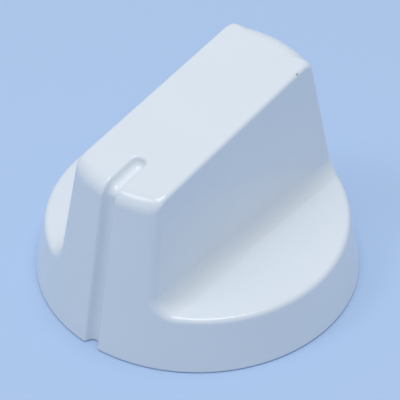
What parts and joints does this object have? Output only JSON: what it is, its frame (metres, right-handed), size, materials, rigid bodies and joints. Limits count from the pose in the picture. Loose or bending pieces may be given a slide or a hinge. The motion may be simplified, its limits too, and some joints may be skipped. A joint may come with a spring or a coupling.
{
  "type": "stove knob",
  "caption": "Push-on cooker knob: round drafted skirt, wedge-shaped finger grip, pointer groove, and a split stem with a D-shaped spindle hole.",
  "frame": {"origin": "centre of the skirt's rim, in the plane that the knob lies on", "axes": "+Z along the spindle towards the grip's top, -Y towards the end with the pointer groove, X across the grip"},
  "size_m": [0.042, 0.042, 0.0281],
  "materials": {
    "moulding": "gloss",
    "spring_steel": "satin"
  },
  "bodies": {
    "root": {"knob_body": "moulding", "shaft_clip": "spring_steel"}
  },
  "joints": []
}
